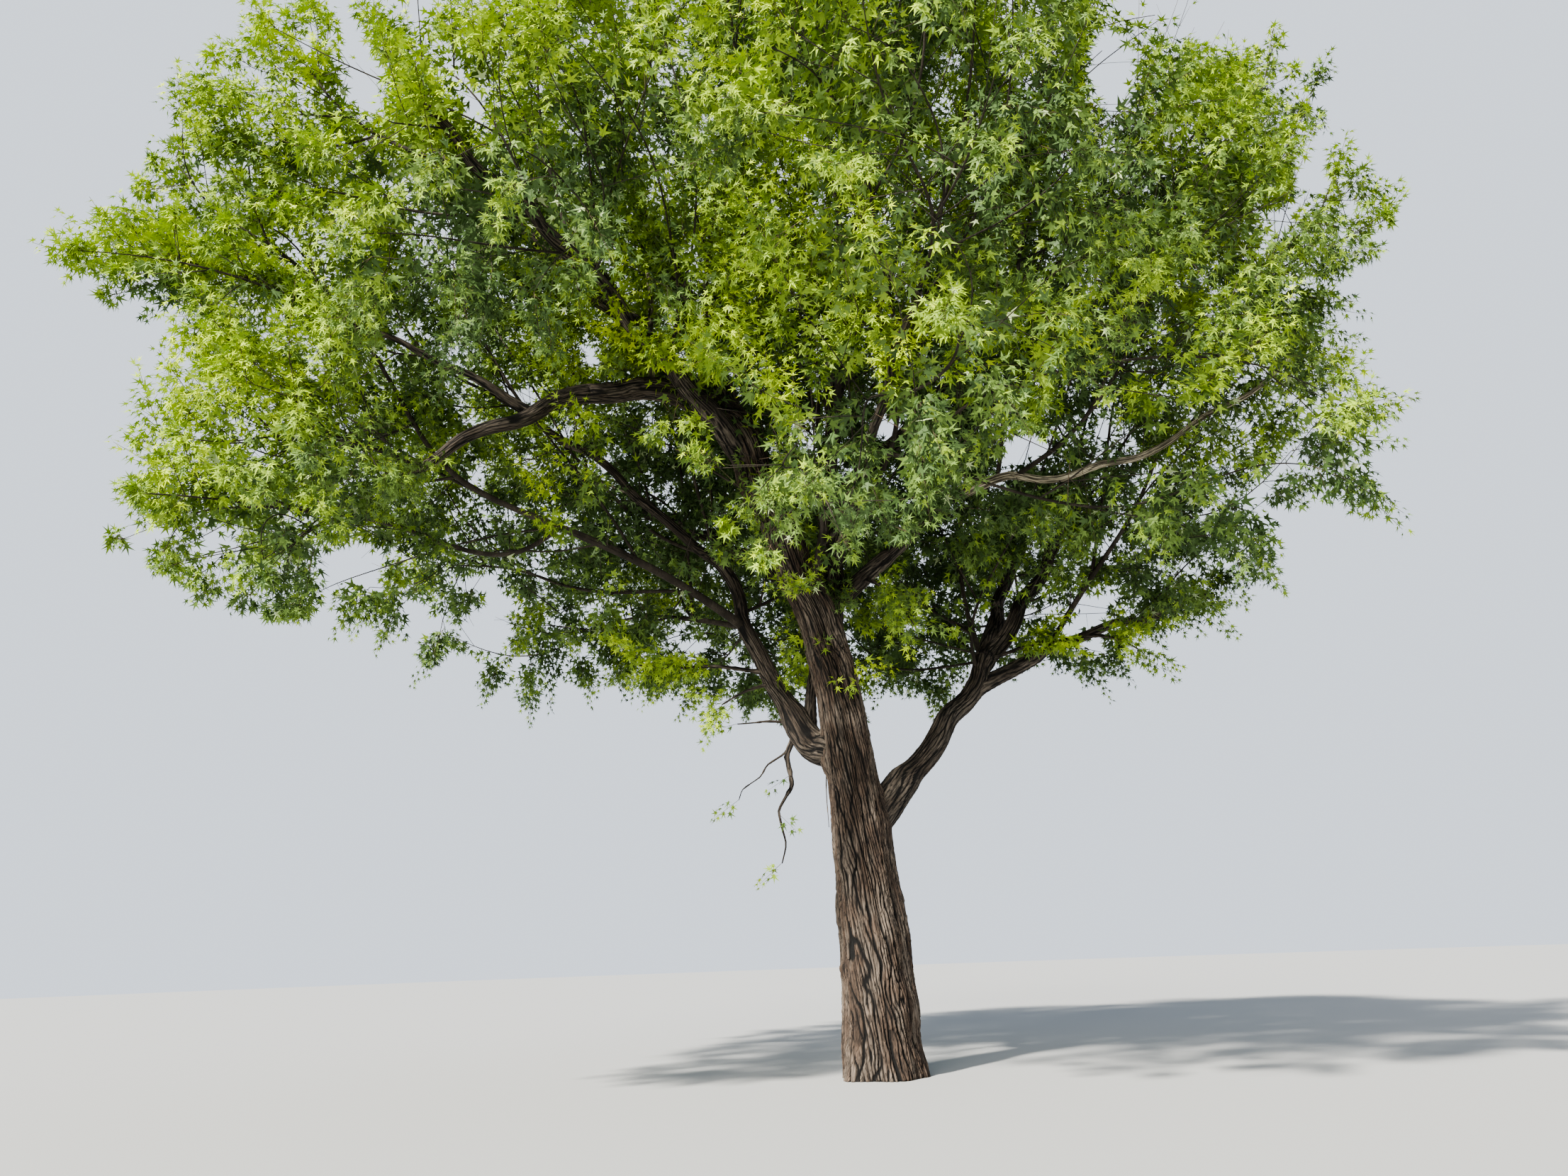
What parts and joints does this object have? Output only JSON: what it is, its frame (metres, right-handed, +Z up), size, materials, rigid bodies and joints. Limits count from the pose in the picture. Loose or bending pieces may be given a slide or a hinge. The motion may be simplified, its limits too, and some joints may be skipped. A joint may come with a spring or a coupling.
{
  "type": "silver maple tree",
  "caption": "Whole broad-crowned silver maple in summer leaf: a short leaning trunk with a root flare, spreading boughs and masses of foliage.",
  "frame": {"origin": "the middle of the flat cut under the trunk, at ground level", "axes": "+Z up, +X to the right and +Y away from the viewer as in the reference view; the trunk leans towards -X"},
  "size_m": [16.7636, 16.68, 18.2216],
  "materials": {
    "trunk_bark": "rough grey-brown bark in long shaggy upright plates",
    "bough_bark": "grey bark, shaggy on the big limbs and smoother further out",
    "foliage": "yellow-green deeply lobed leaves in sprays, paler underneath"
  },
  "bodies": {
    "root": {"arch_bough": "bough_bark", "arch_bough_outer": "bough_bark", "back_bough": "bough_bark", "back_left_bough": "bough_bark", "back_right_bough": "bough_bark", "crown_top": "foliage", "front_bough": "bough_bark", "front_left_bough": "bough_bark", "front_spray": "foliage", "heart_1": "foliage", "heart_2": "foliage", "left_bough": "bough_bark", "left_bough_upper": "bough_bark", "left_front_plume": "foliage", "left_leader": "bough_bark", "left_plume": "foliage", "left_tip": "foliage", "low_front_bough": "bough_bark", "low_left_spray": "foliage", "low_right_bough": "bough_bark", "main_stem": "bough_bark", "middle_1": "foliage", "middle_2": "foliage", "middle_3": "foliage", "middle_4": "foliage", "middle_5": "foliage", "middle_6": "foliage", "middle_7": "foliage", "middle_8": "foliage", "middle_9": "foliage", "pale_bough": "bough_bark", "right_bough": "bough_bark", "right_leader": "bough_bark", "right_plume": "foliage", "right_spire": "foliage", "right_tip": "foliage", "second_stem": "bough_bark", "shoulder_1": "foliage", "shoulder_2": "foliage", "shoulder_3": "foliage", "shoulder_4": "foliage", "shoulder_5": "foliage", "shoulder_6": "foliage", "shoulder_7": "foliage", "shoulder_8": "foliage", "skirt_1": "foliage", "skirt_2": "foliage", "skirt_3": "foliage", "skirt_4": "foliage", "skirt_5": "foliage", "skirt_6": "foliage", "skirt_7": "foliage", "skirt_8": "foliage", "trunk": "trunk_bark", "upper_1": "foliage", "upper_2": "foliage", "upper_3": "foliage", "upper_4": "foliage", "upper_5": "foliage", "upper_left_bough": "bough_bark"}
  },
  "joints": []
}
